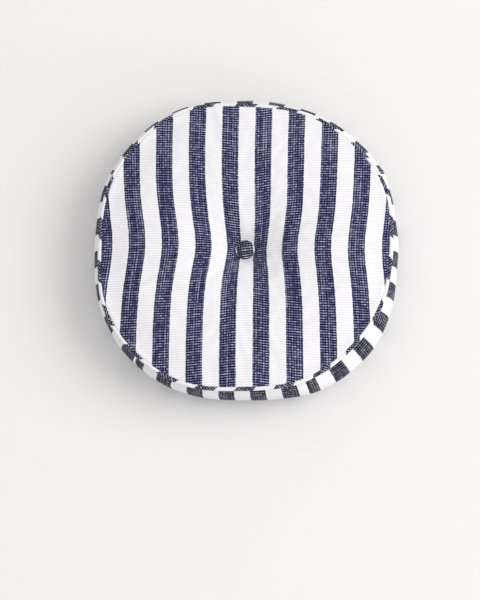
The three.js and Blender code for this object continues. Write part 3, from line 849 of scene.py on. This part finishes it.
def end_lift(from_end, lapped):
    """How far a boxing piece rises near one end, by degrees from it: lapped over a strip, or sewn on."""
    if not lapped:
        return -JOIN_DIP * math.exp(-((from_end / JOIN_WIDTH) ** 2))
    turned_under = LAP_TURN * (1 - smoothstep(from_end, 0.0, LAP_TURN_WIDTH))
    return LAP_LIFT * (1 - smoothstep(from_end, *LAP_SLOPE)) - turned_under


def make_boxing(name):
    start, end, navy_angle, stretch = BOXING_PIECES[name]
    laps_start = name == "boxing_left"
    laps_end = name == "boxing_right"
    start -= BOXING_LAP * laps_start
    end += BOXING_LAP * laps_end
    heights = [MID_Z + SEAM_HALF * (2 * j / (BOXING_ROWS - 1) - 1) for j in range(BOXING_ROWS)]

    def section(degrees):
        lift = end_lift(degrees - start, laps_start) + end_lift(end - degrees, laps_end)
        return with_lengths([(band_radius(degrees, z) + lift, z) for z in heights])

    span = (start + BOXING_GAP * (not laps_start), end - BOXING_GAP * (not laps_end))
    piece = sweep_band(name, section, span, BOXING_STEP, navy_angle, stretch)
    thicken(piece, CLOTH)


STRIP_STEP = 0.5  # degrees
STRIP_ROWS = 18
FOLD = 0.8 * MM  # radius of the folded edge beside the coil
FOLD_STEPS = 5
HEM = 4.8 * MM  # how far the folded edge reaches back under the strip
HEM_DROP = 1.7 * MM
STITCH_LINE = SLOT_HALF + 5.5 * MM
STITCH_DIP = 0.35 * MM  # the stitches draw the strip in along their line
STITCH_DIP_WIDTH = 1.1 * MM


def strip_rows(degrees):
    """A strip's section from the seam to its folded edge, and a little way back under it."""
    fold_z = SLOT_HALF + FOLD
    rows = []
    for j in range(STRIP_ROWS + 1):
        z = SEAM_HALF + (fold_z - SEAM_HALF) * j / STRIP_ROWS
        dip = STITCH_DIP * math.exp(-(((z - STITCH_LINE) / STITCH_DIP_WIDTH) ** 2))
        rows.append((band_radius(degrees, MID_Z + z) - dip, z))
    edge = band_radius(degrees, MID_Z + fold_z)
    for j in range(1, FOLD_STEPS + 1):
        turn = math.pi * j / FOLD_STEPS
        rows.append((edge - FOLD * (1 - math.cos(turn)), SLOT_HALF + FOLD * (1 - math.sin(turn))))
    rows.append((edge - HEM_DROP, SLOT_HALF + HEM))
    return rows


def make_zip_strip(side):
    def section(degrees):
        rows = with_lengths(strip_rows(degrees))
        return [(radius, MID_Z + side * z, length) for radius, z, length in rows]

    name = f"zip_strip_{SIDE_NAMES[side]}"
    piece = sweep_band(name, section, (ZIP_START, ZIP_END), STRIP_STEP, ZIP_NAVY_ANGLE)
    if side == FRONT:
        piece.data.flip_normals()
    thicken(piece, THIN_CLOTH)


# ---- Foam: flat where it is free, dished by the buttons and squeezed out against the side band ----

FOAM_COLUMNS = 96
FOAM_HOLE = 5.2 * MM
FOAM_HALF = 25.5 * MM  # half its thickness where nothing presses on it
FOAM_COVERING = 6.2 * MM  # wadding and cloth over its faces
FOAM_BAND_SPACE = 7 * MM  # between its edge and the side band
FOAM_SHARES = (0.08, 0.14, 0.22, 0.34, 0.5, 0.7, 0.88, 0.955)  # of the seam's radius
FOAM_EDGE_LEVELS = (16, 11, 5, -5, -11, -16)  # mm from mid level


def foam_face(side, angle):
    """A line of points across one face of the foam, from its hole outwards."""
    points = []
    for share in (0.0, *FOAM_SHARES):
        covered = side * (float(panel_heights[side](share)) - MID_Z) - FOAM_COVERING
        radius = share * seams[side].radius(angle) if share else FOAM_HOLE
        points.append((radius, MID_Z + side * min(FOAM_HALF, covered)))
    return points


def make_foam():
    levels = [MID_Z + z * MM for z in FOAM_EDGE_LEVELS]
    vertices = []
    for i in range(FOAM_COLUMNS):
        degrees = i * 360 / FOAM_COLUMNS
        angle = math.radians(degrees)
        edge = [(band_radius(degrees, z) - FOAM_BAND_SPACE, z) for z in levels]
        loop = foam_face(FRONT, angle) + edge + foam_face(BACK, angle)[::-1]
        vertices += [polar(radius, angle, z) for radius, z in loop]
    faces, _ = grid_faces(FOAM_COLUMNS, len(loop), True, True)
    new_piece("foam_core_shaped", vertices, faces, None, foam, "foam", ["foam_core"])


# ---- Zip: tapes and coil ----

TAPE_RADIUS = ZIP_RADIUS - 2.1 * MM
TAPE_THICKNESS = 0.5 * MM
TAPE_EDGE = 0.7 * MM  # from mid level to the tape's inner edge
TAPE_ROWS = 9
TAPE_ROW = 1.4 * MM  # height of one row of its faces
TAPE_STEP = 1.0  # degrees
TAPE_END = 0.1  # degrees that the tape stops short of the slot's ends
TAPE_SINK = 0.9 * MM  # the tape sinks in this far under the strips
TAPE_SINK_FROM, TAPE_SINK_TO = 4.8 * MM, 12 * MM
TAPE_CLOTH = (tape_cloth, "zip_tape")


def make_tape(side):
    def section(_):
        rows = []
        for j in range(TAPE_ROWS):
            z = TAPE_EDGE + j * TAPE_ROW
            radius = TAPE_RADIUS - TAPE_SINK * float(smoothstep(z, TAPE_SINK_FROM, TAPE_SINK_TO))
            rows.append((radius, MID_Z + side * z, z))
        return rows

    name = f"zip_tape_{SIDE_NAMES[side]}"
    span = (ZIP_START + TAPE_END, ZIP_END - TAPE_END)
    piece = sweep_band(name, section, span, TAPE_STEP, 0.0, cloth=TAPE_CLOTH)
    if side == BACK:
        piece.data.flip_normals()
    thicken(piece, TAPE_THICKNESS)


COIL_PITCH = 1.6 * MM
COIL_WIRE = 0.34 * MM  # radius of the filament
COIL_SIDES = 6
COIL_STEPS = 10  # points to each winding
COIL_END = 1.5  # degrees that the coil stops short of the slot's ends
COIL_DEPTH = 1.0 * MM  # its middle lies this far under the zip's radius
COIL_HALF_HEIGHT = 0.62 * MM
COIL_CENTRE = 1.5 * MM  # from mid level to the middle of one row
COIL_HALF_WIDTH = 1.75 * MM
COIL_LEAN = 0.11  # share of the pitch by which each winding leans back and forth


def make_coil(side):
    """One row of the coil: a filament wound into a flattened spiral, meshed with the other row's."""
    start, end = math.radians(ZIP_START + COIL_END), math.radians(ZIP_END - COIL_END)
    pitch = COIL_PITCH / ZIP_RADIUS
    windings = int((end - start) / pitch) - 1
    offset = 0.5 if side == BACK else 0.0
    path = []
    for k in range(windings * COIL_STEPS + 1):
        winding = k / COIL_STEPS
        swing = TAU * winding
        angle = start + pitch * (winding + offset + COIL_LEAN * math.sin(2 * swing))
        radius = ZIP_RADIUS - COIL_DEPTH + COIL_HALF_HEIGHT * math.sin(swing)
        z = COIL_CENTRE - COIL_HALF_WIDTH * math.cos(swing)
        path.append(polar(radius, angle, MID_Z + side * z))
    vertices, faces = tube(path, COIL_WIRE, COIL_SIDES)
    name = f"zip_coil_{SIDE_NAMES[side]}"
    new_piece(f"{name}_wound", vertices, faces, None, nylon, "nylon_coil", [name])


# ---- Stitching beside the zip and across the boxing's lapped ends ----

STITCH_PITCH = 3.4 * MM
CROSS_STITCH_PITCH = 3.2 * MM
STITCH_GAP = 0.12  # share of the pitch left free at each end of a stitch
STITCH_POINTS = 7
STITCH_SIDES = 6
THREAD_RADIUS = 0.26 * MM
THREAD_RISE = 0.3 * MM  # a stitch stands up in its middle
THREAD_SINK = 0.1 * MM  # and goes into the cloth at its ends
ZIP_STITCH_END = 0.8  # degrees that the zip's stitching stops short of the slot's ends
LAP_STITCH_PLACE = 0.75  # degrees from the slot's ends to the stitches across the boxing
LAP_STITCH_LIFT = 1.0 * MM
LAP_STITCH_END = 3 * MM  # from the last stitch to the seam


def one_stitch(place, start, end):
    path, radii = [], []
    for i in range(STITCH_POINTS):
        share = i / (STITCH_POINTS - 1)
        bulge = math.sin(math.pi * share)
        path.append(place(start + (end - start) * share, THREAD_RISE * bulge - THREAD_SINK))
        radii.append(THREAD_RADIUS * (0.35 + 0.65 * bulge) + 0.02 * MM)
    return tube(path, np.array(radii), STITCH_SIDES)


def stitch_line(name, place, start, end, pitch):
    """A row of stitches. place(t, rise) is the point t metres along it that stands rise over it."""
    stitches = []
    for k in range(int((end - start) / pitch)):
        first = start + k * pitch + STITCH_GAP * pitch
        last = start + (k + 1) * pitch - STITCH_GAP * pitch
        stitches.append(one_stitch(place, first, last))
    vertices, faces = merged(stitches)
    new_piece(name, vertices, faces, None, thread, "cotton_cord")


def make_strip_stitching(side):
    def place(arc, rise):
        degrees = math.degrees(arc / ZIP_RADIUS)
        z = MID_Z + side * STITCH_LINE
        return polar(band_radius(degrees, z) - STITCH_DIP + rise, math.radians(degrees), z)

    start = math.radians(ZIP_START + ZIP_STITCH_END) * ZIP_RADIUS
    end = math.radians(ZIP_END - ZIP_STITCH_END) * ZIP_RADIUS
    stitch_line(f"zip_stitching_{SIDE_NAMES[side]}", place, start, end, STITCH_PITCH)


def make_lap_stitching(label, degrees):
    def place(off_middle, rise):
        z = MID_Z + off_middle
        return polar(band_radius(degrees, z) + LAP_STITCH_LIFT + rise, math.radians(degrees), z)

    half = SEAM_HALF - LAP_STITCH_END
    stitch_line(f"boxing_stitching_{label}", place, -half, half, CROSS_STITCH_PITCH)


# ---- Buttons: cloth gathered over a domed shell ----

BUTTON_RINGS = 22
BUTTON_COLUMNS = 56
BUTTON_LEAN = math.radians(-8)  # the cloth isn't quite square on the button
BUTTON_STRETCH = 0.96  # the navy stripe leaves a little white showing at the button's two sides
BUTTON_FIRST = 0.03  # share of the profile at its first ring
SHOULDER = 0.78  # share of the profile at which the dome ends and the cloth turns in
SHOULDER_Z = 2.2 * MM
TURN_IN = 4.6 * MM
TURN_DOWN = 1.7 * MM
GATHERS = 14
GATHER_DEPTH = 0.022
GATHER_START = 0.72  # share of the rings at which the gathers begin


def button_profile():
    """(radius, height over the panel) from near the dome's top, over its shoulder and in underneath."""
    top = BUTTON_HEIGHT + BUTTON_SINK
    profile = []
    for i in range(BUTTON_RINGS):
        share = BUTTON_FIRST + (1 - BUTTON_FIRST) * i / (BUTTON_RINGS - 1)
        if share < SHOULDER:
            t = share / SHOULDER * math.pi / 2
            radius = BUTTON_RADIUS * math.sin(t) ** 0.94
            z = SHOULDER_Z + (top - SHOULDER_Z) * math.cos(t) ** 0.9
        else:
            t = (share - SHOULDER) / (1 - SHOULDER)
            radius = BUTTON_RADIUS - TURN_IN * t**1.6
            z = SHOULDER_Z - TURN_DOWN * math.sin(t * math.pi / 2)
        profile.append((radius, z))
    return profile


def button_ring(side, radius, z, gather):
    """One ring of a button's points, with the gathers that show where the cloth turns in."""
    points = []
    for j in range(BUTTON_COLUMNS):
        turn = j * TAU / BUTTON_COLUMNS
        out = radius * (1 + gather * GATHER_DEPTH * math.sin(GATHERS * turn + 1.3 * math.sin(3 * turn)))
        soft = 0.12 * MM * ripple(3 * math.cos(turn) * radius / BUTTON_RADIUS, 3 * math.sin(turn), 41)
        height = side * (BUTTON_SEAT + z + soft)
        points.append((out * math.cos(turn), side * out * math.sin(turn), MID_Z + height))
    return points


def button_uv(length, column):
    """Where on the striped cloth a button's point lies, at a length of cloth from the dome's top."""
    turn = column * TAU / BUTTON_COLUMNS + BUTTON_LEAN
    return BUTTON_STRETCH * length * math.cos(turn) + STRIPE / 2, length * math.sin(turn)


def make_button(side):
    name = f"{SIDE_NAMES[side]}_button_cover"
    body = f"{SIDE_NAMES[side]}_button"
    profile = button_profile()
    lengths = [length for _, _, length in with_lengths(profile, profile[0][0])]
    vertices = []
    for i, (radius, z) in enumerate(profile):
        gather = smoothstep(i / (BUTTON_RINGS - 1), GATHER_START, 1.0)
        vertices += button_ring(side, radius, z, gather)
    faces, corners = grid_faces(BUTTON_RINGS, BUTTON_COLUMNS, close_columns=True)
    uvs = [button_uv(lengths[i], j) for i, j in corners]
    apex = len(vertices)
    vertices.append((0.0, 0.0, MID_Z + side * (BUTTON_SEAT + profile[0][1])))
    for j in range(BUTTON_COLUMNS):
        faces.append([apex, j, (j + 1) % BUTTON_COLUMNS])
        uvs += [button_uv(0.0, j), button_uv(lengths[0], j), button_uv(lengths[0], j + 1)]
    piece = new_piece(f"{name}_cloth", vertices, faces, uvs, trim_striped, "button_cotton", [name], body)
    thicken(piece, THIN_CLOTH)


# ---- All the pieces, and the CAD nodes that stay ----

STOP_BEVEL = 0.15 * MM
SLIDER_BEVEL = 0.18 * MM


def make_pieces():
    for side in (FRONT, BACK):
        make_panel(side)
        make_piping(side)
        make_zip_strip(side)
        make_tape(side)
        make_coil(side)
        make_button(side)
    for name in BOXING_PIECES:
        make_boxing(name)
    make_foam()
    make_strip_stitching(FRONT)
    make_strip_stitching(BACK)
    make_lap_stitching("start", ZIP_START - LAP_STITCH_PLACE)
    make_lap_stitching("end", ZIP_END + LAP_STITCH_PLACE)


def dress(name, material, bevel_width=0.0, smooth=False):
    """A CAD node that stays gets its material, and smooth faces or rounded edges where it needs them."""
    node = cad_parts[name]
    node.data.materials.clear()
    node.data.materials.append(material)
    if smooth:
        node.data.polygons.foreach_set("use_smooth", [True] * len(node.data.polygons))
    if bevel_width:
        round_edges(node, bevel_width)


def dress_cad_nodes():
    for label in SIDE_NAMES.values():
        dress(f"{label}_piping_cord", cotton, smooth=True)
        dress(f"{label}_wadding", fibre, smooth=True)
        dress(f"zip_top_stop_{label}", zip_metal, STOP_BEVEL)
        for part in ("shell", "plate", "eye"):
            dress(f"{label}_button_{part}", button_metal, smooth=True)
    dress("tufting_twine", cotton, smooth=True)
    dress("zip_bottom_stop", zip_metal, STOP_BEVEL)
    dress("zip_slider", zip_metal, SLIDER_BEVEL)
    dress("zip_pull", zip_metal, STOP_BEVEL)


# ---- Stage: a plain pale floor, soft light and the camera ----

FLOOR_HALF = 6.0
FLOOR_DROP = 0.6 * MM
WORLD_COLOR = (1.0, 0.995, 0.995, 1)
WORLD_STRENGTH = 0.73
LIGHT_TARGET = (0, 0, 0.04)
CAMERA_TOWARD = (0.07, -0.21, 1.0)  # from the cushion: a little from below and from the right
CAMERA_DISTANCE = 3.5
CAMERA_SENSOR = 36  # mm
SHOWN = 0.7646  # metres of the face plane along the picture's long side
AIM_LEFT = 5.7 * MM  # the picture's middle lies this far left of the front panel's
AIM_DOWN = 66.8 * MM  # and this far below it


def make_floor():
    h = FLOOR_HALF
    mesh = bpy.data.meshes.new("floor")
    mesh.from_pydata([(-h, -h, 0), (h, -h, 0), (h, h, 0), (-h, h, 0)], [], [(0, 1, 2, 3)])
    mesh.materials.append(Graph("floor").finish(srgb(238, 237, 236), 0.8))
    floor = bpy.data.objects.new("floor", mesh)
    floor.location.z = -FLOOR_DROP
    bpy.context.scene.collection.objects.link(floor)


def add_area_light(name, place, size, watts):
    data = bpy.data.lights.new(name, "AREA")
    data.shape = "DISK"
    data.size = size
    data.energy = watts
    light = bpy.data.objects.new(name, data)
    light.location = place
    light.rotation_euler = (Vector(LIGHT_TARGET) - Vector(place)).to_track_quat("-Z", "Y").to_euler()
    bpy.context.scene.collection.objects.link(light)


def make_light():
    world = bpy.data.worlds.new("studio")
    world.use_nodes = True
    background = world.node_tree.nodes["Background"]
    background.inputs["Color"].default_value = WORLD_COLOR
    background.inputs["Strength"].default_value = WORLD_STRENGTH
    bpy.context.scene.world = world
    add_area_light("window", (3.4, 0.3, 3.2), size=3.4, watts=114)
    add_area_light("fill", (3.0, -2.6, 1.5), size=2.4, watts=18)


def make_camera():
    """Looks at the front panel with +Y upright in the picture."""
    toward = Vector(CAMERA_TOWARD).normalized()
    right = Vector((0, 1, 0)).cross(toward).normalized()
    up = toward.cross(right)
    aim = Vector((0, 0, seams[FRONT].z)) - AIM_LEFT * right - AIM_DOWN * up
    data = bpy.data.cameras.new("camera")
    data.sensor_width = CAMERA_SENSOR
    data.lens = CAMERA_SENSOR * CAMERA_DISTANCE / SHOWN
    camera = bpy.data.objects.new("camera", data)
    camera.location = aim + toward * CAMERA_DISTANCE
    camera.rotation_euler = Matrix((right, up, toward)).transposed().to_euler()
    bpy.context.scene.collection.objects.link(camera)
    bpy.context.scene.camera = camera


make_pieces()
dress_cad_nodes()
make_floor()
make_light()
make_camera()
bpy.context.scene.view_settings.view_transform = "Standard"
